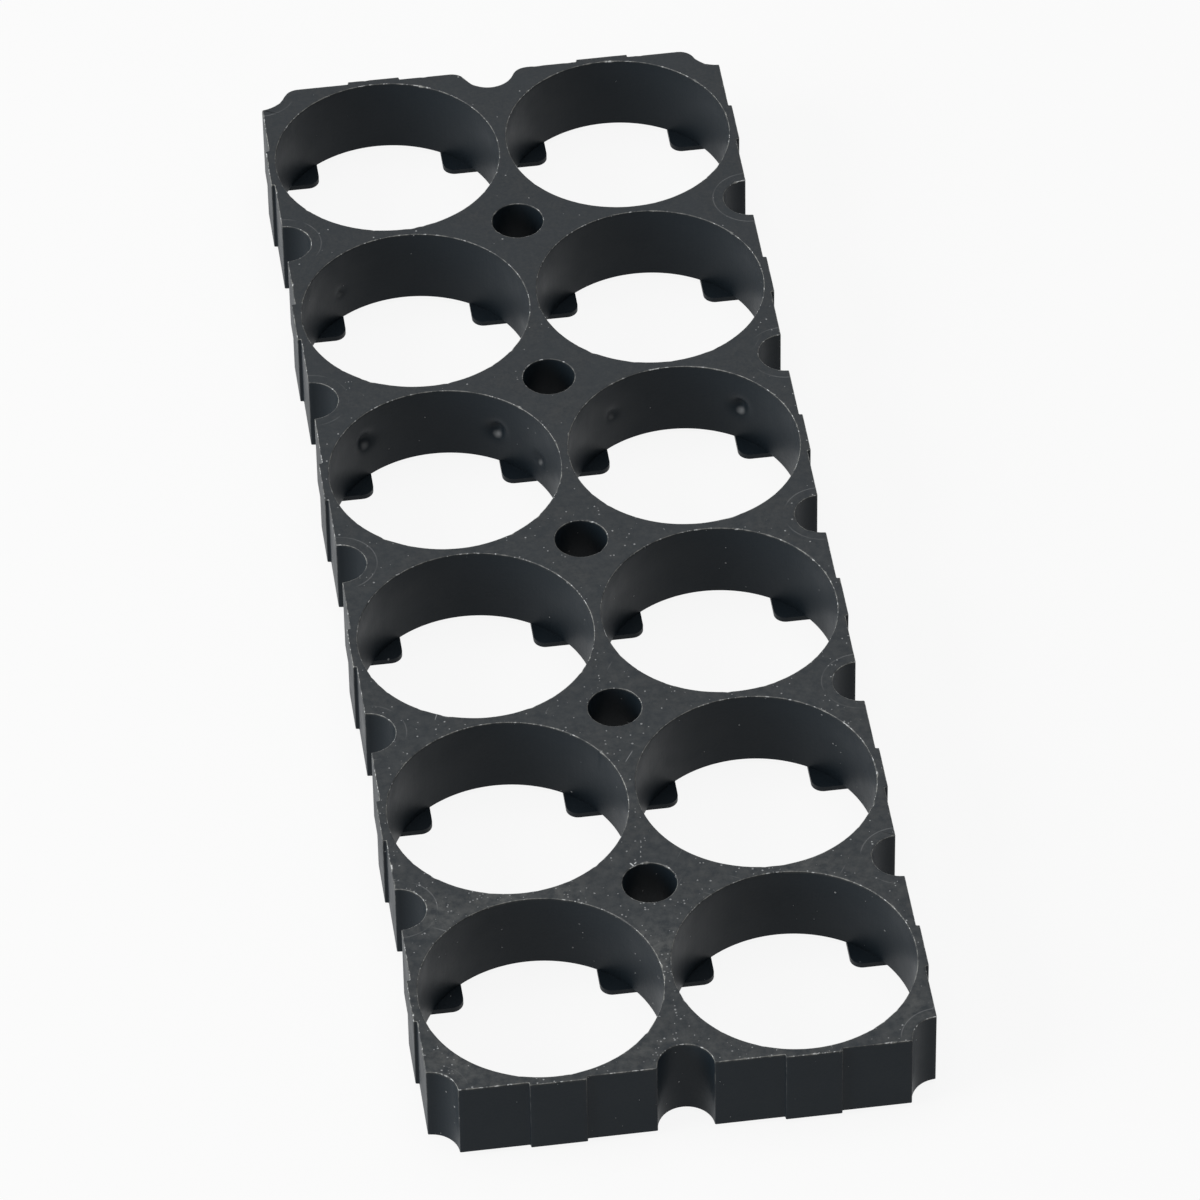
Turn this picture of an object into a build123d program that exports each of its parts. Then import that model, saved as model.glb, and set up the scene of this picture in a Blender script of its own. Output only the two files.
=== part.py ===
from build123d import *
import os

# Battery cell holder bracket: one injection-moulded grid that holds two rows of six cylindrical
# cells upright at a fixed spacing. Each cell stands in a round pocket on four corner tabs. The tabs
# are the pocket corners of the raised lands under the grid, and the channels between the lands carry
# the connecting strips. Tie rods pass through the holes on the centre line and lie in the half-round
# notches round the edge.
#
# Millimetres. +Z is the side the cells enter from, +Y runs along the long side, and the origin is the
# centre of the footprint on the plane the bracket rests on.

# Cells and their grid
cell_columns = 2
cell_rows = 6
cell_diameter = 32.2
cell_clearance = 0.25
pocket_web = 1.3

# Walls, with their upper edges broken by a fine chamfer
wall_height = 12.0
edge_break = 0.15

# Tie rod holes and notches
rod_hole_radius = 3.7
notch_radius = 3.8
end_shoulder_radius = 2.4

# Butting pads on the outer walls
pad_width = 7.6
pad_proud = 0.5

# Lands, corner tabs and strip channels under the grid
land_height = 0.8
channel_width = 18.5
tab_corner_radius = 1.7
land_setback = 1.0

# Sizes that follow
pocket_radius = cell_diameter / 2 + cell_clearance
pitch = 2 * pocket_radius + pocket_web
grid_width = cell_columns * pitch
grid_length = cell_rows * pitch
top_level = land_height + wall_height
land_size = pitch - channel_width

# Where the cells stand, where the walls meet inside the grid, and where they meet its edge
cell_centres = GridLocations(pitch, pitch, cell_columns, cell_rows)
junctions = GridLocations(pitch, pitch, cell_columns + 1, cell_rows + 1)
rod_holes = GridLocations(pitch, pitch, cell_columns - 1, cell_rows - 1)
side_notches = GridLocations(grid_width, pitch, 2, cell_rows + 1)
end_notches = GridLocations(pitch, grid_length, cell_columns - 1, 2)

with BuildPart() as cell_holder:
    # Outer wall: a plain rectangle with a notch at every cell boundary and at the corners
    with BuildSketch(Plane.XY.offset(land_height)) as footprint:
        Rectangle(grid_width, grid_length)
        with side_notches:
            Circle(notch_radius, mode=Mode.SUBTRACT)
        with end_notches:
            Circle(notch_radius, mode=Mode.SUBTRACT)
        # The +Y end has its notch shoulders rounded over
        fillet(footprint.vertices().group_by(Axis.Y)[-1], end_shoulder_radius)
        # A flat pad stands proud in the middle of each outer cell wall
        with GridLocations(grid_width, pitch, 2, cell_rows):
            Rectangle(2 * pad_proud, pad_width)
        with GridLocations(pitch, grid_length, cell_columns, 2):
            Rectangle(pad_width, 2 * pad_proud)
    extrude(amount=wall_height)

    # Lands: a rounded island under every junction of the walls, kept in from the outer faces and
    # from the notches
    with BuildSketch() as lands:
        with junctions:
            RectangleRounded(land_size, land_size, tab_corner_radius)
        land_field_width = grid_width - 2 * land_setback
        land_field_length = grid_length - 2 * land_setback
        Rectangle(land_field_width, land_field_length, mode=Mode.INTERSECT)
        with side_notches:
            Circle(notch_radius + land_setback, mode=Mode.SUBTRACT)
        with end_notches:
            Circle(notch_radius + land_setback, mode=Mode.SUBTRACT)
    extrude(amount=land_height)

    # Cell pockets, down to the top of the lands
    with BuildSketch(Plane.XY.offset(top_level)) as pockets:
        with cell_centres:
            Circle(pocket_radius)
    extrude(amount=-wall_height, mode=Mode.SUBTRACT)

    # Tie rod holes, right through
    with BuildSketch(Plane.XY.offset(top_level)) as holes:
        with rod_holes:
            Circle(rod_hole_radius)
    extrude(amount=-top_level, mode=Mode.SUBTRACT)

    # Every upper edge is broken: pocket mouths, rod holes, notches and outer walls
    chamfer(cell_holder.edges().group_by(Axis.Z)[-1], edge_break)

cell_holder.part.label = "cell_holder"
os.makedirs("parts", exist_ok=True)
export_step(cell_holder.part, "parts/cell_holder.step")
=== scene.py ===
import math

import bmesh
import bpy
from mathutils import Matrix, Vector, noise

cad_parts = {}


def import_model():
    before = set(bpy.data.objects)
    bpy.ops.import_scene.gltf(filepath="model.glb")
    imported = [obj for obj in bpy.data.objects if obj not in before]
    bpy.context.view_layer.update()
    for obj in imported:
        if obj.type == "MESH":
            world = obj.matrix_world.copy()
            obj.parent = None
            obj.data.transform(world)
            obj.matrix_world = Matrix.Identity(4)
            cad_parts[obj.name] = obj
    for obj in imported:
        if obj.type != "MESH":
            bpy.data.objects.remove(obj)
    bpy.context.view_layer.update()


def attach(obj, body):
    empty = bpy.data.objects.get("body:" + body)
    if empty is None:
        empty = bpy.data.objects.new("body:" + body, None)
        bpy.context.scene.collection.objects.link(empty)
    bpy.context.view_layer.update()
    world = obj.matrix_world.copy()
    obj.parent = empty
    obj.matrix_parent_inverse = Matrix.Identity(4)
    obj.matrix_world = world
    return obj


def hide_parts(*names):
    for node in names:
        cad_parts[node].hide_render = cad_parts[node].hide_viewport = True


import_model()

mm = 0.001
touching = 1e-6  # mm, two places closer than this are one place

# Settings that many shader nodes share, and the sockets of a colour mix
times = {"operation": "MULTIPLY"}
timesPlus = {"operation": "MULTIPLY_ADD"}
plus = {"operation": "ADD"}
minus = {"operation": "SUBTRACT"}
larger = {"operation": "MAXIMUM"}
lessThan = {"operation": "LESS_THAN"}
absolute = {"operation": "ABSOLUTE"}
distance = {"operation": "DISTANCE"}
aboutZ = {"rotation_type": "Z_AXIS"}
smooth = {"interpolation_type": "SMOOTHSTEP"}
ofColours = {"data_type": "RGBA"}
mixUnder, mixOver, mixResult = 6, 7, 2


def linear(hexColour):
    channels = [int(hexColour[i:i + 2], 16) / 255 for i in (1, 3, 5)]
    return [c / 12.92 if c <= 0.04045 else ((c + 0.055) / 1.055) ** 2.4 for c in channels] + [1.0]


def addNode(tree, kind, settings, feeds):
    node = tree.nodes.new("ShaderNode" + kind)
    for name, value in settings.items():
        setattr(node, name, value)
    for socket, value in feeds.items():
        if isinstance(value, bpy.types.NodeSocket):
            tree.links.new(value, node.inputs[socket])
        else:
            node.inputs[socket].default_value = value
    return node


cameraView = {
    "aim": (0.91, -12.72, 12.8),  # mm, what stands in the middle of the frame
    "azimuth": -7.15,  # degrees from the -Y side, towards +X
    "elevation": 43.7,
    "roll": -1.03,
    "distance": 1229.2,  # mm
    "lens": 266.2,
    "sensor": 36,
    "farClip": 20,  # m
}


def placeCamera(view):
    aim = Vector(view["aim"]) * mm
    turn, lift = math.radians(view["azimuth"]), math.radians(view["elevation"])
    level = math.cos(lift)
    away = Vector((math.sin(turn) * level, -math.cos(turn) * level, math.sin(lift)))
    camera = bpy.data.objects.new("camera", bpy.data.cameras.new("camera"))
    camera.data.lens = view["lens"]
    camera.data.sensor_width = view["sensor"]
    camera.data.clip_end = view["farClip"]
    rolled = Matrix.Rotation(math.radians(view["roll"]), 3, "Z")
    facing = (-away).to_track_quat("-Z", "Y").to_matrix() @ rolled
    stand = Matrix.Translation(aim + away * view["distance"] * mm)
    camera.matrix_world = stand @ facing.to_4x4()
    bpy.context.collection.objects.link(camera)
    bpy.context.scene.camera = camera
    place = [round(c, 5) for c in camera.matrix_world.translation]
    print("camera at", place, [round(math.degrees(a), 3) for a in camera.rotation_euler])


studio = {
    "backdrop": "#ffffff",
    "floorColour": "#bcbcbb",
    "floorLift": 0.9,  # how much of the floor shows as plain white
    "floorReach": 4.0,  # m
    "floorParts": 8,
    "floorGap": 0.05,  # mm, keeps the floor clear of the faces that stand on it
    "ambient": 0.27,
    "lamps": {  # place in m, size in m, watts
        "softboxOverhead": ((0.0, 0.1, 1.5), 1.2, 12.0),
        "softboxLeft": ((-1.3, -0.2, 0.55), 0.9, 26.0),
        "softboxBehind": ((0.1, 1.3, 1.3), 1.1, 4.0),
    },
}


# 1 for the rays that the camera sends out and for those that a glossy or clear surface passes on,
# 0 for the others
def seenRays(tree):
    path = addNode(tree, "LightPath", {}, {}).outputs
    seen = addNode(tree, "Math", larger, {0: path["Is Camera Ray"], 1: path["Is Glossy Ray"]})
    feeds = {0: seen.outputs[0], 1: path["Is Transmission Ray"]}
    return addNode(tree, "Math", larger, feeds).outputs[0]


def layFloor(settings):
    floor = bpy.data.meshes.new("floor")
    bm = bmesh.new()
    parts = settings["floorParts"]
    bmesh.ops.create_grid(bm, x_segments=parts, y_segments=parts, size=settings["floorReach"])
    bm.to_mesh(floor)
    bm.free()
    plane = bpy.data.objects.new("floor", floor)
    plane.location.z = -settings["floorGap"] * mm
    bpy.context.collection.objects.link(plane)
    paper = bpy.data.materials.new("matt white paper sweep")
    paper.use_nodes = True
    tree = paper.node_tree
    tree.nodes.clear()
    seen = seenRays(tree)
    share = addNode(tree, "Math", times, {0: seen, 1: settings["floorLift"]}).outputs[0]
    matt = addNode(tree, "BsdfDiffuse", {}, {"Color": linear(settings["floorColour"])})
    white = addNode(tree, "Emission", {}, {"Color": linear(settings["backdrop"])})
    feeds = {0: share, 1: matt.outputs[0], 2: white.outputs[0]}
    mixed = addNode(tree, "MixShader", {}, feeds)
    addNode(tree, "OutputMaterial", {}, {"Surface": mixed.outputs[0]})
    floor.materials.append(paper)


def hangLamps(settings):
    for name, (place, side, watts) in settings["lamps"].items():
        lamp = bpy.data.lights.new(name, "AREA")
        lamp.shape = "SQUARE"
        lamp.size = side
        lamp.energy = watts
        holder = bpy.data.objects.new(name, lamp)
        holder.location = place
        holder.rotation_euler = (-Vector(place)).to_track_quat("-Z", "Y").to_euler()
        bpy.context.collection.objects.link(holder)
    world = bpy.data.worlds.new("studio")
    bpy.context.scene.world = world
    world.use_nodes = True
    tree = world.node_tree
    tree.nodes.clear()
    seen = seenRays(tree)
    white = linear(settings["backdrop"])
    dim = addNode(tree, "Background", {}, {"Color": white, "Strength": settings["ambient"]})
    bright = addNode(tree, "Background", {}, {"Color": white})
    mixed = addNode(tree, "MixShader", {}, {0: seen, 1: dim.outputs[0], 2: bright.outputs[0]})
    addNode(tree, "OutputWorld", {}, {"Surface": mixed.outputs[0]})


# The bracket's own sizes in mm, as the solids have them, then its wear and how finely it is drawn
bracketForm = {
    "pitch": 34.0,
    "columns": 2,
    "rows": 6,
    "pocketRadius": 16.35,
    "rodRadius": 3.7,
    "notchRadius": 3.8,
    "shoulderRadius": 2.4,
    "padHalfWidth": 3.8,
    "padProud": 0.5,
    "topLevel": 12.8,
    "landLevel": 0.8,
    "channelHalfWidth": 9.25,
    "tabCorner": 1.7,
    "landSetback": 1.0,
    # wear
    "rim": 0.13,  # how far the moulded edges are rounded over
    "rimBends": (0, 45, 90),  # degrees, the places along that rounding
    "cornerEase": 1.3,  # how far the upright corners are eased, in rims
    "rimSwing": 0.25,  # how much the rounding varies along an edge
    "swingLength": 2.7,
    "nickDepth": 4.0,  # how much further the deepest nicks go, in rims
    "nickLength": 1.1,
    "nickRarity": 0.32,
    "sinkFalloff": 2,  # how steeply a sink mark comes back up to the wall
    # fineness
    "spacing": 0.62,  # along the edges
    "curveSteps": 6,  # along a notch, a rod hole or a shoulder
    "cutCurveSteps": 4,  # along a notch that ends in a shoulder
    "bands": 4,  # across the top face, from a pocket to the next edge
    "wallBands": 3,
    "markedWallBands": 20,  # in the pockets that have sink marks
    "hold": 0.12,  # a narrow band beside each rounded edge keeps the shading flat next to it
    "holdShare": 0.2,  # the most that such a band takes of the top face
    "underShares": (0, 0.04, 1 / 3, 2 / 3, 0.96, 1),  # from a pocket to the land's edge
    "tabShares": (0, 0.5, 0.95, 1),  # from a pocket's wall to a tab's edge
    "weldReach": 0.002,
    "leastEdge": 0.0005,
    "rubAndHighlightTurn": 30,  # degrees, an outward edge as sharp as this is rubbed and painted with a highlight
    "sharpTurn": 50,  # degrees, an edge as sharp as this isn't shaded smooth
}

# Sink marks in the pocket walls, beside the thick plastic of the junctions: the pocket's column
# and row, then degrees round it from +X, height, half-width and depth in mm
sinkMarks = [
    (0, 3, 127, 7.6, 1.7, 1.1),
    (0, 3, 57, 6.6, 1.6, 1.2),
    (0, 3, 29, 5.4, 1.1, 0.6),
    (1, 3, 53, 6.9, 1.6, 1.1),
    (1, 3, 121, 7.1, 1.2, 0.5),
    (0, 4, 126, 5.8, 1.1, 0.3),
]


def steps(length, spacing):
    return max(1, round(length / spacing))


# An outline's places are x, y and the outward direction there
def straight(start, end, outward, count):
    places = []
    for i in range(count + 1):
        x, y = [a + (b - a) * i / count for a, b in zip(start, end)]
        places.append((x, y, *outward))
    return places


def rounded(middle, radius, fromTurn, toTurn, side, count):
    places = []
    for i in range(count + 1):
        turn = fromTurn + (toTurn - fromTurn) * i / count
        dx, dy = math.cos(turn), math.sin(turn)
        places.append((middle[0] + radius * dx, middle[1] + radius * dy, side * dx, side * dy))
    return places


# The middle of the curve that cuts a corner off
def easedCorner(before, corner, after):
    middle = [0.25 * before[k] + 0.5 * corner[k] + 0.25 * after[k] for k in (0, 1)]
    outward = Vector((before[2] + after[2], before[3] + after[3])).normalized()
    return [(*middle, *outward)]


# One side of a quarter cell, seen with the cell's centre at 0, 0: from the middle of the side at
# (half, 0) to the middle of the corner. Gives the places along it, which stretches between them
# are real edges, and at which place the land starts.
def sideOutline(form, outer, notched, shouldered):
    half = form["pitch"] / 2
    ease = form["rim"] * form["cornerEase"]
    radius = form["notchRadius"] if notched else form["rodRadius"]
    start = form["channelHalfWidth"]
    space = form["spacing"]
    setback = form["landSetback"]
    bent = form["curveSteps"]
    foot = half - radius
    middle, middleTurn = (half, half), -math.pi * 0.75
    places, real = [], []

    def add(more, isEdge):
        if places:
            real.append(isEdge)
        places.extend(more)
        real.extend([isEdge] * (len(more) - 1))

    if outer:
        proud, padEdge = half + form["padProud"], form["padHalfWidth"]
        front = straight((proud, 0), (proud, padEdge - ease), (1, 0), steps(padEdge, space))
        step = straight((proud - ease, padEdge), (half + ease, padEdge), (0, 1), 1)
        count = steps(start - padEdge, space)
        flat = straight((half, padEdge + ease), (half, start), (1, 0), count)
        add(front, True)
        add(easedCorner(front[-1], (proud, padEdge), step[0]), True)
        add(step, True)
        add(easedCorner(step[-1], (half, padEdge), flat[0]), True)
        add(flat, True)
        landStart = len(places) - 1
        if shouldered:
            soft = form["shoulderRadius"]
            reach = math.sqrt((radius + soft) ** 2 - soft ** 2)
            along = half - reach
            turnEnd = math.atan2(reach, soft)
            cut, count = form["cutCurveSteps"], steps(along - start, space)
            add(straight((half, start), (half, along), (1, 0), count)[1:], True)
            add(rounded((half - soft, along), soft, 0, turnEnd, 1, bent)[1:], True)
            add(rounded(middle, radius, -math.pi + turnEnd, middleTurn, -1, cut)[1:], True)
        else:
            count = steps(foot - start, space)
            flat = straight((half, start), (half, foot - ease), (1, 0), count)[1:]
            curve = rounded(middle, radius, -math.pi / 2 - ease / radius, middleTurn, -1, bent)
            add(flat, True)
            add(easedCorner(flat[-1], (half, foot), curve[0]), True)
            add(curve, True)
    else:
        count = steps(foot - start, space)
        add(straight((half, 0), (half, start), (0, 0), steps(start, space)), False)
        landStart = len(places) - 1
        if notched:
            add(straight((half, start), (half, foot - setback), (0, 0), count - 1)[1:], False)
            add([(half, foot - setback / 2, 0, 0)], False)
        else:
            add(straight((half, start), (half, foot), (0, 0), count)[1:-1], False)
        curve = rounded(middle, radius, -math.pi / 2, middleTurn, -1, bent)
        add(curve[:1], False)
        add(curve[1:], True)
    return places, real, landStart


# How far the land reaches under each place of a side
def sideLand(form, outer, notched, places, walked, landStart):
    half = form["pitch"] / 2
    radius = form["notchRadius"] if notched else form["rodRadius"]
    start, setback = form["channelHalfWidth"], form["landSetback"]
    foot, wide = half - radius, radius + setback
    dip = math.asin(setback / wide)
    line = half - wide * math.cos(dip) - start
    bend = wide * (math.pi / 4 - dip)
    land = []
    for i, (x, y, _, _) in enumerate(places):
        if i < landStart:
            land.append(None)
        elif not notched:
            land.append((x, y))
        elif outer:
            share = (walked[i] - walked[landStart]) / (walked[-1] - walked[landStart])
            along = share * (line + bend)
            if along <= line:
                land.append((half - setback, start + along))
            else:
                turn = dip + (along - line) / wide
                land.append((half - wide * math.sin(turn), half - wide * math.cos(turn)))
        elif x > half - touching:
            land.append((x, min(y, foot - setback)))
        else:
            away = Vector((x - half, y - half)).normalized() * wide
            land.append((half + away.x, half + away.y))
    return land


# The part of the pocket's edge that faces each place of a side
def sideAngles(form, walked, landStart):
    landAngle = math.asin(form["channelHalfWidth"] / form["pocketRadius"])
    angles = []
    for i, gone in enumerate(walked):
        if i <= landStart:
            angles.append(landAngle * gone / walked[landStart])
        else:
            share = (gone - walked[landStart]) / (walked[-1] - walked[landStart])
            angles.append(landAngle + (math.pi / 4 - landAngle) * share)
    return angles


def cellSide(form, outer, notched, shouldered):
    places, real, landStart = sideOutline(form, outer, notched, shouldered)
    walked = [0.0]
    for a, b in zip(places, places[1:]):
        walked.append(walked[-1] + math.dist(a[:2], b[:2]))
    land = sideLand(form, outer, notched, places, walked, landStart)
    return places, real, land, sideAngles(form, walked, landStart), landStart


# Where a line from the cell's centre meets the tab's straight sides or its rounded corner
def tabEdge(form, angle):
    start, soft = form["channelHalfWidth"], form["tabCorner"]
    dx, dy = math.cos(angle), math.sin(angle)
    x, y = (start * dx / dy, start) if dx > dy else (start, start * dy / dx)
    centre = start + soft
    if x < centre and y < centre:
        b = centre * (dx + dy)
        reach = b - math.sqrt(b * b - 2 * centre * centre + soft * soft)
        x, y = reach * dx, reach * dy
    return x, y


def cellCentre(form, column, row):
    across, along = (form["columns"] - 1) / 2, (form["rows"] - 1) / 2
    return (column - across) * form["pitch"], (row - along) * form["pitch"]


def between(a, b, shares):
    return [tuple(p + (q - p) * s for p, q in zip(a, b)) for s in shares]


# Heights down a wall, from under its rounded edge to the land
def wallLevels(form, count):
    high = form["topLevel"] - 2 * form["rim"] - form["hold"]
    deep = form["landLevel"] + form["hold"]
    return [high - (high - deep) * i / count for i in range(count + 1)] + [form["landLevel"]]


# How the top face is divided, with a narrow band at either side
def topShares(form, wide):
    band, bands = min(form["hold"] / wide, form["holdShare"]), form["bands"]
    inside = [band + (1 - 2 * band) * i / bands for i in range(1, bands)]
    return [0, band, *inside, 1 - band, 1]


# How deep the sink marks go into a pocket's wall
def sunk(form, cellMarks, turn, z):
    deep = 0
    for _, _, degrees, height, reach, depth in cellMarks:
        off = (turn - math.radians(degrees) + math.pi) % (2 * math.pi) - math.pi
        away = math.hypot(off * form["pocketRadius"], z - height) / reach
        deep += depth * math.exp(-form["sinkFalloff"] * away * away)
    return deep


# The rounding of an edge varies along it, with a deeper nick here and there
def nicked(form, spot):
    near = Vector(spot)
    nick = max(0.0, noise.noise(near / form["nickLength"]) - form["nickRarity"])
    swing = form["rimSwing"] * noise.noise(near / form["swingLength"])
    return 1 + swing + nick * form["nickDepth"]


def skin(bm, rows):
    made = [[bm.verts.new([c * mm for c in place]) for place in row] for row in rows]
    for rowA, rowB in zip(made, made[1:]):
        for a, b, c, d in zip(rowA, rowA[1:], rowB[1:], rowB):
            bm.faces.new((a, b, c, d))


# Whether the land stays behind the edge above it
def landBehind(station):
    return math.dist(station["under"][-1], station["edge"]) > touching


# The quarter of a cell that lies on side sx, sy of its centre. A station is one cut through the
# web, from the pocket to the edge that faces it.
def mouldQuarter(bm, form, column, row, sx, sy, cellMarks):
    top, low, pocket, rim = (form[k] for k in ("topLevel", "landLevel", "pocketRadius", "rim"))
    bends = [math.radians(a) for a in form["rimBends"]]
    bends = [(1 - math.sin(b), 1 - math.cos(b)) for b in bends]
    bands = form["markedWallBands"] if cellMarks else form["wallBands"]
    centre = cellCentre(form, column, row)
    outerX = column == (0 if sx < 0 else form["columns"] - 1)
    outerY = row == (0 if sy < 0 else form["rows"] - 1)
    notched = outerX or outerY
    sideX = cellSide(form, outerX, notched, False)
    sideY = cellSide(form, outerY, notched, outerY and sy > 0)
    places = sideX[0] + [(y, x, ny, nx) for x, y, nx, ny in reversed(sideY[0][:-1])]
    real = sideX[1] + sideY[1][::-1]
    land = sideX[2] + [spot and spot[::-1] for spot in reversed(sideY[2][:-1])]
    angles = sideX[3] + [math.pi / 2 - a for a in reversed(sideY[3][:-1])]
    first, last = sideX[4], len(places) - 1 - sideY[4]

    def world(x, y, z):
        return (centre[0] + sx * x, centre[1] + sy * y, z)

    stations = []
    for k, ((x, y, nx, ny), angle) in enumerate(zip(places, angles)):
        cx, cy = math.cos(angle), math.sin(angle)
        inner = (pocket * cx, pocket * cy)
        worn = rim * nicked(form, world(x, y, top))
        wallTop = [
            (x - nx * worn * back, y - ny * worn * back, top - worn * drop)
            for back, drop in bends
        ]
        worn = rim * nicked(form, world(*inner, top))
        mouth = [
            ((pocket + worn * back) * cx, (pocket + worn * back) * cy, top - worn * drop)
            for back, drop in bends
        ]
        shares = topShares(form, math.dist(wallTop[0], mouth[0]))
        turn = math.atan2(sy * cy, sx * cx)
        pocketWall = []
        for z in [mouth[-1][2]] + wallLevels(form, bands):
            radius = pocket + sunk(form, cellMarks, turn, z)
            pocketWall.append((radius * cx, radius * cy, z))
        outerLevels = [wallTop[-1][2]] + wallLevels(form, form["wallBands"])
        if land[k]:
            reach = land[k]
        else:
            knot = first if k < first else last
            knotInner = (pocket * math.cos(angles[knot]), pocket * math.sin(angles[knot]))
            whole = math.dist(knotInner, places[knot][:2])
            share = math.dist(knotInner, land[knot]) / whole
            reach = between(inner, (x, y), [share])[0]
        stations.append({
            "wallTop": wallTop,
            "mouth": mouth,
            "across": between(wallTop[0], mouth[0], shares),
            "pocketWall": pocketWall,
            "outerWall": [(x, y, z) for z in outerLevels],
            "under": between(inner, reach, form["underShares"]),
            "edge": (x, y),
            "tab": tabEdge(form, angle) if first <= k <= last else None,
        })

    def strip(k, name, level=None):
        rows = [stations[k][name], stations[k + 1][name]]
        if level is not None:
            rows = [[(*p, level) for p in row] for row in rows]
        skin(bm, [[world(*p) for p in row] for row in rows])

    for k in range(len(stations) - 1):
        pair = stations[k], stations[k + 1]
        onLand = first <= k < last
        strip(k, "across")
        strip(k, "mouth")
        strip(k, "pocketWall")
        if real[k]:
            strip(k, "wallTop")
            strip(k, "outerWall")
        strip(k, "under", 0 if onLand else low)
        skin(bm, [[world(*s["under"][-1], low), world(*s["edge"], low)] for s in pair])
        if onLand:
            if real[k] or landBehind(pair[0]) or landBehind(pair[1]):
                skin(bm, [[world(*s["under"][-1], z) for z in (low, 0)] for s in pair])
            tabs = [between(s["under"][0], s["tab"], form["tabShares"]) for s in pair]
            skin(bm, [[world(*p, 0) for p in row] for row in tabs])
            skin(bm, [[world(*p, low) for p in row] for row in tabs])
            skin(bm, [[world(*row[-1], z) for z in (0, low)] for row in tabs])
    for knot in (first, last):
        skin(bm, [[world(*p, z) for p in stations[knot]["under"]] for z in (0, low)])


def mouldBracket(form, marks):
    bm = bmesh.new()
    for column in range(form["columns"]):
        for row in range(form["rows"]):
            cellMarks = [m for m in marks if m[:2] == (column, row)]
            for sx in (-1, 1):
                for sy in (-1, 1):
                    mouldQuarter(bm, form, column, row, sx, sy, cellMarks)
    bmesh.ops.remove_doubles(bm, verts=bm.verts, dist=form["weldReach"] * mm)
    bmesh.ops.dissolve_degenerate(bm, edges=bm.edges, dist=form["leastEdge"] * mm)
    bmesh.ops.delete(bm, geom=[e for e in bm.edges if not e.link_faces], context="EDGES")
    bmesh.ops.recalc_face_normals(bm, faces=bm.faces)
    # edges that the material paints paler: partly rubbed, partly a painted highlight where the
    # rounding catches the light
    rubAndHighlight = bm.verts.layers.float.new("rubAndHighlightEdge")
    turn = math.radians(form["rubAndHighlightTurn"])
    for vert in bm.verts:
        vert[rubAndHighlight] = float(any(e.calc_face_angle_signed(0) > turn for e in vert.link_edges))
    mesh = bpy.data.meshes.new("cellHolderSkin")
    bm.to_mesh(mesh)
    bm.free()
    mesh.shade_smooth()
    mesh.set_sharp_from_angle(angle=math.radians(form["sharpTurn"]))
    skinned = bpy.data.objects.new("cellHolderSkin", mesh)
    bpy.context.collection.objects.link(skinned)
    return skinned


# Injection-moulded black ABS straight from the tool: nearly black with a cold cast, a dull sheen
# from the fine sparked grain of the mould, edges painted a little paler, partly rubbed and partly
# a painted highlight where their rounding catches the light, painted highlights low in the sink
# marks, and dust and hairline scuffs on the upper face. Sizes are in mm. Of each pattern, the
# range called shows gives the values where it begins to show and where it is full.
mouldedAbs = {
    "body": "#10181e",
    "bodyWorn": "#474542",
    # pale colour of the dust haze and of the rubbed edges, with the painted highlight along those
    # edges
    "scuffAndHighlight": "#969692",
    # pale colour of chips, specks and marks, and also of the painted highlights in the sink marks
    "chipAndHighlight": "#b4b6b7",
    "gleam": "#f8fafc",
    "ior": 1.53,
    "specular": 0.135,
    "roughness": 0.46,
    "roughnessSwing": 0.06,
    "upperFade": (0.5, 0.1),  # below the top, where the upper face's marks begin and are full
    # clouds and grain in the plastic
    "cloudSize": 6.0,
    "cloudShows": (0.3, 0.7),
    "grainSize": 0.45,  # the tool's grain is nearer 0.05 mm, too fine to show, so it is coarser
    "mottleShows": (0.18, 0.42),
    "mottle": (0.08, 0.22),
    "wallMottle": 0.15,  # how much of it the walls have
    # rubbed edges with a painted highlight along them, and chips in them
    "rubAndHighlightLength": 1.6,  # how long the palest stretches are
    "rubAndHighlightShows": (0.42, 0.68),
    "rubAndHighlightLeast": 0.15,
    "rubAndHighlightOnTop": 0.55,
    "rubAndHighlightOnWalls": 0.35,
    "chipSize": 0.5,
    "chipShows": (0.6, 0.68),
    # dust: all over, more towards the near end, and in drifts
    "dustEnds": (60.0, -100.0),  # along Y
    "dust": (0.05, 0.45),
    "hazeShows": (0.35, 0.7),
    "haze": 0.18,
    "driftSize": 3.5,
    "driftShows": (0.4, 0.66),
    "drift": (0.03, 1.3),
    "speckSize": 0.12,
    "speckSizes": (0.4, 1.3),  # the smallest and the largest, in speck sizes
    "speckSpacing": 0.45,
    "speckSoftness": 0.02,
    "speckChance": (0.05, 0.6),  # on the walls and on the upper face
    "speckPaleness": (0.1, 0.7),
    # hairlines and single marks
    "hairlines": ((0.5, 9.0), (-1.05, 7.0)),  # radians round, length
    "hairlineWidth": 0.07,
    "hairlineSpread": 6,  # from one to the next, in widths
    "hairlineRise": 0.2,  # how fast they change with height
    "hairlineShows": (0.78, 0.84),
    "hairlineStrength": 0.35,
    "markFull": 3,  # a mark is at full strength within its size divided by this
    # faint rings that the mould's inserts leave round the notches of the long sides
    "ringRadius": 5.3,
    "ringHalfWidth": 0.14,
    "ringZone": 8.0,  # how far in from the long sides they show
    "ringBreaks": 5.0,  # how long their stretches are
    "ringShows": (0.42, 0.6),
    "ringStrength": 0.12,
    # painted highlights low in each sink mark, pale colour where the dent catches the light: in
    # half-widths and depths of it
    "sinkHighlightDrop": 0.55,
    "sinkHighlightReach": 0.6,
    "sinkHighlightFull": 0.1,
    "sinkHighlightStrength": 0.35,
    # relief
    "waveSize": 9.0,
    "drawLines": (1.6, 1.6, 0.05),  # per mm, fine upright lines from drawing the part off
    "grainHeight": 0.012,
    "waveHeight": 0.10,
    "drawLineHeight": 0.012,
    "ringHeight": 0.022,
    "speckHeight": 0.03,
}

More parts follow.
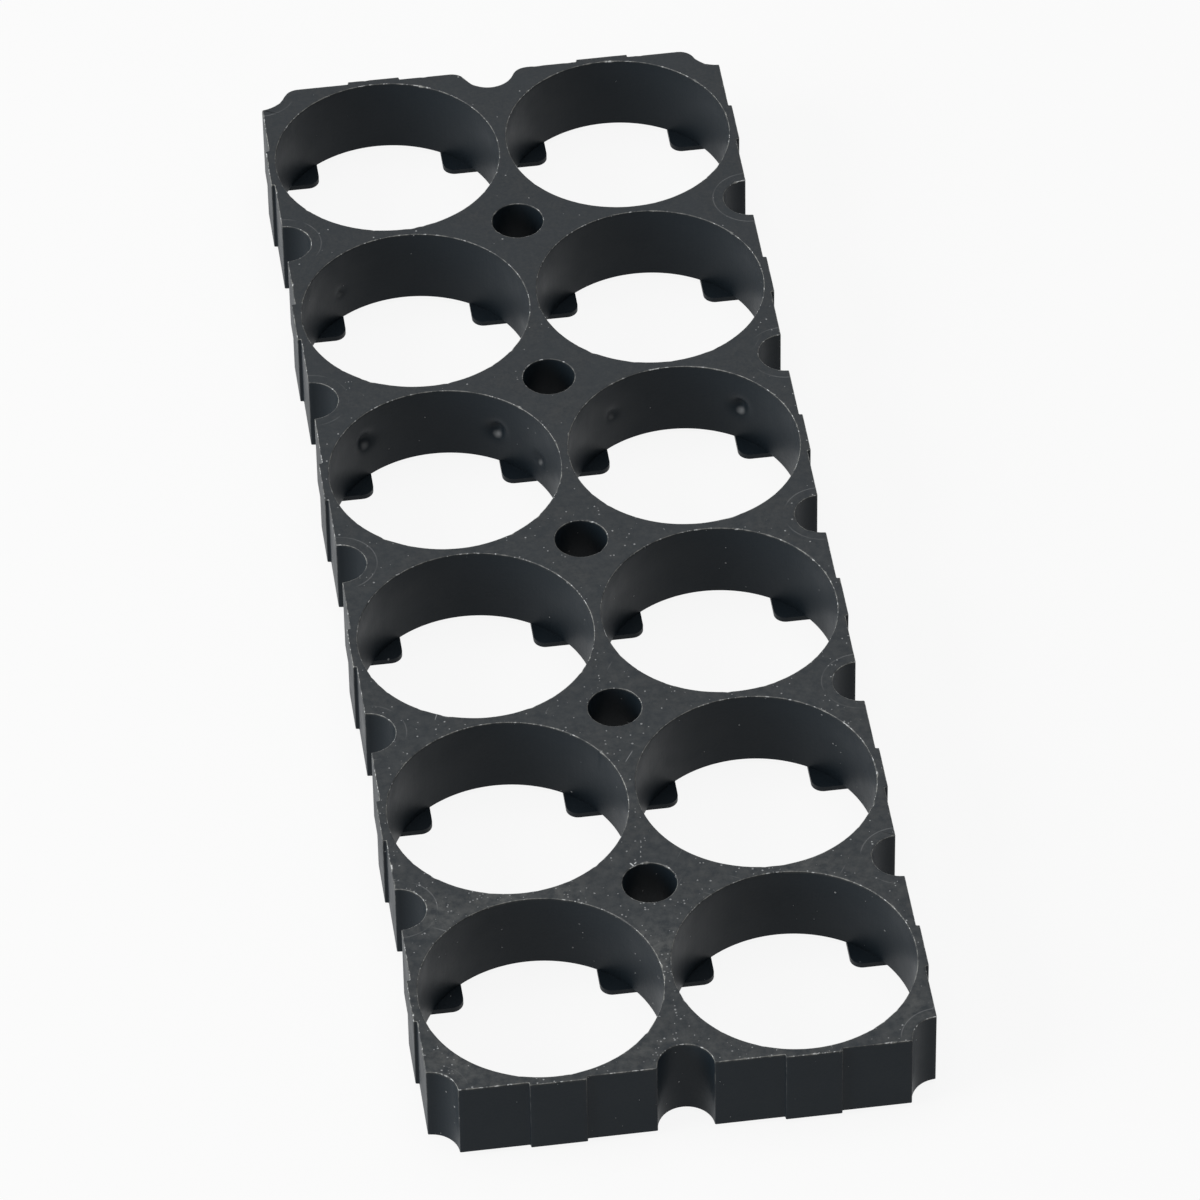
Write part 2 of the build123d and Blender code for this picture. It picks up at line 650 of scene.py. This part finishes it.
# Patches of the upper face with more dust and scuffs: x, y, reach (mm), strength
dustPatches = [
    (-20.0, -66.8, 6.5, 0.75),
    (-28.5, -70.0, 5.5, 0.6),
    (-12.0, -67.5, 5.0, 0.45),
    (-29.0, -96.5, 6.0, 0.5),
    (20.0, -68.5, 7.0, 0.45),
    (1.0, -79.5, 8.0, 0.4),
    (-2.6, -82.0, 6.5, 0.5),
    (-4.5, -77.0, 4.5, 0.35),
    (26.5, -73.0, 4.5, 0.3),
    (3.0, -50.5, 6.0, 0.3),
    (30.0, -96.0, 6.0, 0.35),
    (-6.0, -98.5, 5.0, 0.25),
]

# Single marks on the upper face: x, y, length, degrees round, width (mm), strength
strayMarks = [
    (-1.9, -64.3, 0.8, 125, 0.13, 0.9),
    (-1.4, -64.1, 0.5, 50, 0.11, 0.8),
    (-0.5, -63.0, 0.3, 80, 0.08, 0.5),
    (-0.4, -62.1, 0.4, 85, 0.08, 0.45),
    (-0.2, -61.2, 0.3, 80, 0.08, 0.5),
    (-0.1, -60.2, 0.5, 84, 0.08, 0.4),
    (0.6, -43.8, 2.6, 58, 0.07, 0.3),
    (-2.2, -45.6, 1.8, 20, 0.07, 0.25),
    (2.6, 33.2, 1.0, 15, 0.09, 0.3),
    (-24.4, -32.2, 1.5, 70, 0.08, 0.3),
]


# How dusty the upper face is from place to place: patches that add up, and more towards the near
# end
def dustMap(tree, look, flat, along, patches):
    dusty = None
    for x, y, reach, strength in patches:
        away = addNode(tree, "VectorMath", distance, {0: flat, 1: (x, y, 0)}).outputs["Value"]
        feeds = {"Value": away, "From Min": reach, "From Max": 0.0, "To Max": strength}
        fade = addNode(tree, "MapRange", smooth, feeds).outputs[0]
        if dusty is not None:
            fade = addNode(tree, "Math", plus, {0: dusty, 1: fade}).outputs[0]
        dusty = fade
    (farEnd, nearEnd), (least, most) = look["dustEnds"], look["dust"]
    feeds = {"From Min": farEnd, "From Max": nearEnd, "To Min": least, "To Max": most}
    nearHalf = addNode(tree, "MapRange", {}, {"Value": along, **feeds}).outputs[0]
    return addNode(tree, "Math", plus, {0: dusty, 1: nearHalf}).outputs[0]


# Pale specks: one small dot in some of the cells of a scattered pattern, most of them in drifts
def speckMap(tree, look, place, upper, dusty):
    feeds = {"Vector": place, "Scale": 1 / look["driftSize"], "Detail": 3.0, "Roughness": 0.7}
    drift = addNode(tree, "TexNoise", {}, feeds).outputs[0]
    (begins, full), (least, most) = look["driftShows"], look["drift"]
    feeds = {"From Min": begins, "From Max": full, "To Min": least, "To Max": most}
    drift = addNode(tree, "MapRange", {}, {"Value": drift, **feeds}).outputs[0]
    drifts = addNode(tree, "Math", times, {0: drift, 1: dusty}).outputs[0]

    feeds = {"Vector": place, "Scale": 1 / look["speckSpacing"]}
    dots = addNode(tree, "TexVoronoi", {}, feeds).outputs
    chance = addNode(tree, "SeparateColor", {}, {0: dots["Color"]}).outputs
    least, most = [s * look["speckSize"] / look["speckSpacing"] for s in look["speckSizes"]]
    feeds = {"Value": chance[1], "To Min": least, "To Max": most}
    size = addNode(tree, "MapRange", {}, feeds).outputs[0]
    dot = addNode(tree, "Math", minus, {0: size, 1: dots["Distance"]}).outputs[0]
    feeds = {"Value": dot, "From Max": look["speckSoftness"]}
    dot = addNode(tree, "MapRange", {}, feeds).outputs[0]
    onWalls, onTop = look["speckChance"]
    feeds = {"Value": upper, "To Min": onWalls, "To Max": onTop}
    likely = addNode(tree, "MapRange", {}, feeds).outputs[0]
    likely = addNode(tree, "Math", times, {0: likely, 1: drifts}).outputs[0]
    picked = addNode(tree, "Math", lessThan, {0: chance[0], 1: likely}).outputs[0]
    least, most = look["speckPaleness"]
    feeds = {"Value": chance[2], "To Min": least, "To Max": most}
    paleness = addNode(tree, "MapRange", {}, feeds).outputs[0]
    specks = dot
    for share in (picked, paleness):
        specks = addNode(tree, "Math", times, {0: specks, 1: share}).outputs[0]
    return specks


# Hairline scuffs: thin streaks along two directions
def hairlineMap(tree, look, place, upper, dusty):
    hairlines = None
    begins, full = look["hairlineShows"]
    for turn, length in look["hairlines"]:
        spun = addNode(tree, "VectorRotate", aboutZ, {"Vector": place, "Angle": turn}).outputs[0]
        spacing = look["hairlineWidth"] * look["hairlineSpread"]
        stretch = (1 / length, 1 / spacing, look["hairlineRise"])
        drawn = addNode(tree, "VectorMath", times, {0: spun, 1: stretch}).outputs[0]
        feeds = {"Vector": drawn, "Scale": 1.0, "Detail": 1.0}
        streak = addNode(tree, "TexNoise", {}, feeds).outputs[0]
        feeds = {"Value": streak, "From Min": begins, "From Max": full}
        streak = addNode(tree, "MapRange", {}, feeds).outputs[0]
        if hairlines is not None:
            streak = addNode(tree, "Math", larger, {0: hairlines, 1: streak}).outputs[0]
        hairlines = streak
    for share in (upper, dusty):
        hairlines = addNode(tree, "Math", times, {0: hairlines, 1: share}).outputs[0]
    return hairlines


# Faint broken rings round the notches of the long sides
def ringMap(tree, look, place, fromJunction, fromSide, upper):
    off = addNode(tree, "Math", minus, {0: fromJunction, 1: look["ringRadius"]}).outputs[0]
    off = addNode(tree, "Math", absolute, {0: off}).outputs[0]
    feeds = {"Value": off, "From Min": look["ringHalfWidth"], "From Max": 0.0}
    rings = addNode(tree, "MapRange", smooth, feeds).outputs[0]
    inZone = addNode(tree, "Math", lessThan, {0: fromSide, 1: look["ringZone"]}).outputs[0]
    feeds = {"Vector": place, "Scale": 1 / look["ringBreaks"], "Detail": 1.0}
    broken = addNode(tree, "TexNoise", {}, feeds).outputs[0]
    begins, full = look["ringShows"]
    feeds = {"Value": broken, "From Min": begins, "From Max": full}
    broken = addNode(tree, "MapRange", {}, feeds).outputs[0]
    for share in (inZone, upper, broken):
        rings = addNode(tree, "Math", times, {0: rings, 1: share}).outputs[0]
    return rings


# A painted highlight low in each sink mark, where the dent catches the light
def paintedSinkHighlightMap(tree, look, form, place, sinks):
    sinkHighlights = None
    for column, row, degrees, height, reach, depth in sinks:
        turn = math.radians(degrees)
        x, y = cellCentre(form, column, row)
        x += form["pocketRadius"] * math.cos(turn)
        y += form["pocketRadius"] * math.sin(turn)
        spot = (x, y, height - look["sinkHighlightDrop"] * reach)
        away = addNode(tree, "VectorMath", distance, {0: place, 1: spot}).outputs["Value"]
        sinkHighlight = addNode(tree, "MapRange", smooth, {
            "Value": away,
            "From Min": look["sinkHighlightReach"] * reach,
            "From Max": look["sinkHighlightFull"],
            "To Max": look["sinkHighlightStrength"] * depth,
        }).outputs[0]
        if sinkHighlights is not None:
            sinkHighlight = addNode(tree, "Math", larger, {0: sinkHighlights, 1: sinkHighlight}).outputs[0]
        sinkHighlights = sinkHighlight
    return sinkHighlights


# The single marks of the upper face, over the marks that are there already
def addStrays(tree, look, flat, upper, strays, marks):
    for x, y, length, degrees, width, strength in strays:
        middle = (x, y, 0)
        feeds = {"Vector": flat, "Center": middle, "Angle": -math.radians(degrees)}
        turned = addNode(tree, "VectorRotate", aboutZ, feeds).outputs[0]
        offset = addNode(tree, "VectorMath", minus, {0: turned, 1: middle}).outputs[0]
        offset = addNode(tree, "VectorMath", absolute, {0: offset}).outputs[0]
        sides = addNode(tree, "SeparateXYZ", {}, {0: offset}).outputs
        full = length / look["markFull"]
        feeds = {"Value": sides[0], "From Min": length / 2, "From Max": full}
        lengthwise = addNode(tree, "MapRange", smooth, feeds).outputs[0]
        full = width / look["markFull"]
        feeds = {"Value": sides[1], "From Min": width, "From Max": full, "To Max": strength}
        crosswise = addNode(tree, "MapRange", smooth, feeds).outputs[0]
        mark = addNode(tree, "Math", times, {0: lengthwise, 1: crosswise}).outputs[0]
        mark = addNode(tree, "Math", times, {0: mark, 1: upper}).outputs[0]
        marks = addNode(tree, "Math", larger, {0: marks, 1: mark}).outputs[0]
    return marks


def makePlastic(look, form, patches, strays, sinks):
    material = bpy.data.materials.new("moulded black ABS")
    material.use_nodes = True
    tree = material.node_tree
    shader = tree.nodes["Principled BSDF"]
    shader.inputs["IOR"].default_value = look["ior"]
    shader.inputs["Specular IOR Level"].default_value = look["specular"]
    shader.inputs["Specular Tint"].default_value = linear(look["gleam"])
    half, top = form["pitch"] / 2, form["topLevel"]

    # places in mm: from the part's own centre, and from the nearest junction
    place = addNode(tree, "TexCoord", {}, {}).outputs["Object"]
    feeds = {0: place, "Scale": 1 / mm}
    place = addNode(tree, "VectorMath", {"operation": "SCALE"}, feeds).outputs[0]
    flat = addNode(tree, "VectorMath", times, {0: place, 1: (1, 1, 0)}).outputs[0]
    feeds = {0: flat, 1: (half, half, 1), 2: (-half, -half, -1)}
    atJunction = addNode(tree, "VectorMath", {"operation": "WRAP"}, feeds).outputs[0]
    fromJunction = addNode(tree, "VectorMath", {"operation": "LENGTH"}, {0: atJunction})
    fromJunction = fromJunction.outputs["Value"]
    across, along, height = addNode(tree, "SeparateXYZ", {}, {0: place}).outputs
    across = addNode(tree, "Math", absolute, {0: across}).outputs[0]
    fromSide = addNode(tree, "Math", minus, {0: form["columns"] * half, 1: across}).outputs[0]
    begins, full = [top - depth for depth in look["upperFade"]]
    feeds = {"Value": height, "From Min": begins, "From Max": full}
    upper = addNode(tree, "MapRange", smooth, feeds).outputs[0]

    # rubbed edges with a painted highlight along them, broken up a little along their length
    edge = addNode(tree, "Attribute", {"attribute_name": "rubAndHighlightEdge"}, {}).outputs["Fac"]
    feeds = {"Vector": place, "Scale": 1 / look["rubAndHighlightLength"], "Detail": 4.0, "Roughness": 0.65}
    edgeAndHazeNoise = addNode(tree, "TexNoise", {}, feeds).outputs[0]
    (begins, full), least = look["rubAndHighlightShows"], look["rubAndHighlightLeast"]
    feeds = {"Value": edgeAndHazeNoise, "From Min": begins, "From Max": full, "To Min": least}
    rubAndHighlight = addNode(tree, "MapRange", {}, feeds).outputs[0]
    rubAndHighlight = addNode(tree, "Math", times, {0: edge, 1: rubAndHighlight}).outputs[0]

    dusty = dustMap(tree, look, flat, along, patches)
    specks = speckMap(tree, look, place, upper, dusty)
    hairlines = hairlineMap(tree, look, place, upper, dusty)
    rings = ringMap(tree, look, place, fromJunction, fromSide, upper)
    sinkHighlights = paintedSinkHighlightMap(tree, look, form, place, sinks)

    # colour: the mottled plastic
    feeds = {"Vector": place, "Scale": 1 / look["cloudSize"], "Detail": 5.0, "Roughness": 0.6}
    cloud = addNode(tree, "TexNoise", {}, feeds).outputs[0]
    feeds = {"Vector": place, "Scale": 1 / look["grainSize"], "Detail": 2.0}
    grain = addNode(tree, "TexNoise", {}, feeds).outputs[0]
    mottled = addNode(tree, "Math", times, {0: cloud, 1: grain}).outputs[0]
    (begins, full), (least, most) = look["mottleShows"], look["mottle"]
    feeds = {"From Min": begins, "From Max": full, "To Min": least, "To Max": most}
    mottled = addNode(tree, "MapRange", {}, {"Value": mottled, **feeds}).outputs[0]
    feeds = {"Value": upper, "To Min": look["wallMottle"]}
    onTop = addNode(tree, "MapRange", {}, feeds).outputs[0]
    mottled = addNode(tree, "Math", times, {0: mottled, 1: onTop}).outputs[0]
    under, over = linear(look["body"]), linear(look["bodyWorn"])
    feeds = {0: mottled, mixUnder: under, mixOver: over}
    colour = addNode(tree, "Mix", ofColours, feeds).outputs[mixResult]

    # colour: a haze of dust, then the rubbed edges with their painted highlight, strongest on the
    # upper face
    begins, full = look["hazeShows"]
    feeds = {"Value": edgeAndHazeNoise, "From Min": begins, "From Max": full, "To Max": look["haze"]}
    haze = addNode(tree, "MapRange", {}, feeds).outputs[0]
    for share in (dusty, upper):
        haze = addNode(tree, "Math", times, {0: haze, 1: share}).outputs[0]
    feeds = {0: haze, mixUnder: colour, mixOver: linear(look["scuffAndHighlight"])}
    colour = addNode(tree, "Mix", ofColours, feeds).outputs[mixResult]
    feeds = {"From Min": form["landLevel"], "From Max": top, "To Max": look["rubAndHighlightOnWalls"]}
    rubAndHighlightReach = addNode(tree, "MapRange", {}, {"Value": height, **feeds}).outputs[0]
    feeds = {0: upper, 1: look["rubAndHighlightOnTop"], 2: rubAndHighlightReach}
    rubAndHighlightReach = addNode(tree, "Math", timesPlus, feeds).outputs[0]
    rubAndHighlightShare = addNode(tree, "Math", times, {0: rubAndHighlight, 1: rubAndHighlightReach}).outputs[0]
    feeds = {0: rubAndHighlightShare, mixUnder: colour, mixOver: linear(look["scuffAndHighlight"])}
    colour = addNode(tree, "Mix", ofColours, feeds).outputs[mixResult]

    # colour: all the pale marks, and the painted highlights of the sink marks
    feeds = {0: hairlines, 1: look["hairlineStrength"]}
    marks = addNode(tree, "Math", times, feeds).outputs[0]
    marks = addStrays(tree, look, flat, upper, strays, marks)
    feeds = {0: rings, 1: look["ringStrength"], 2: marks}
    marks = addNode(tree, "Math", timesPlus, feeds).outputs[0]
    # the painted highlights of the sink marks join the pale marks here
    marks = addNode(tree, "Math", larger, {0: marks, 1: sinkHighlights}).outputs[0]
    feeds = {"Vector": place, "Scale": 1 / look["chipSize"], "Detail": 1.0}
    chips = addNode(tree, "TexNoise", {}, feeds).outputs[0]
    begins, full = look["chipShows"]
    feeds = {"Value": chips, "From Min": begins, "From Max": full}
    chips = addNode(tree, "MapRange", {}, feeds).outputs[0]
    for share in (edge, upper):
        chips = addNode(tree, "Math", times, {0: chips, 1: share}).outputs[0]
    for more in (specks, chips):
        marks = addNode(tree, "Math", larger, {0: marks, 1: more}).outputs[0]
    feeds = {0: marks, mixUnder: colour, mixOver: linear(look["chipAndHighlight"])}
    colour = addNode(tree, "Mix", ofColours, feeds).outputs[mixResult]
    tree.links.new(colour, shader.inputs["Base Color"])

    # gloss
    begins, full = look["cloudShows"]
    least, most = [look["roughness"] + side * look["roughnessSwing"] for side in (-1, 1)]
    feeds = {"From Min": begins, "From Max": full, "To Min": least, "To Max": most}
    dull = addNode(tree, "MapRange", {}, {"Value": cloud, **feeds}).outputs[0]
    tree.links.new(dull, shader.inputs["Roughness"])

    # relief
    feeds = {"Vector": place, "Scale": 1 / look["waveSize"], "Detail": 1.0}
    wave = addNode(tree, "TexNoise", {}, feeds).outputs[0]
    drawLines = addNode(tree, "VectorMath", times, {0: place, 1: look["drawLines"]}).outputs[0]
    feeds = {"Vector": drawLines, "Scale": 1.0, "Detail": 2.0}
    drawLines = addNode(tree, "TexNoise", {}, feeds).outputs[0]
    relief = addNode(tree, "Math", times, {0: grain, 1: look["grainHeight"]}).outputs[0]
    layers = [
        (wave, look["waveHeight"]),
        (drawLines, look["drawLineHeight"]),
        (rings, look["ringHeight"]),
        (specks, look["speckHeight"]),
    ]
    for layer, height in layers:
        relief = addNode(tree, "Math", timesPlus, {0: layer, 1: height, 2: relief}).outputs[0]
    bump = addNode(tree, "Bump", {}, {"Height": relief, "Distance": mm})
    tree.links.new(bump.outputs[0], shader.inputs["Normal"])
    return material


bpy.context.scene.view_settings.view_transform = "Standard"
placeCamera(cameraView)
layFloor(studio)
hangLamps(studio)
print("studio ready")
bracket = mouldBracket(bracketForm, sinkMarks)
plastic = makePlastic(mouldedAbs, bracketForm, dustPatches, strayMarks, sinkMarks)
bracket.data.materials.append(plastic)
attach(bracket, "root")
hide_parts("cell_holder")
print("bracket moulded:", len(bracket.data.polygons), "faces")
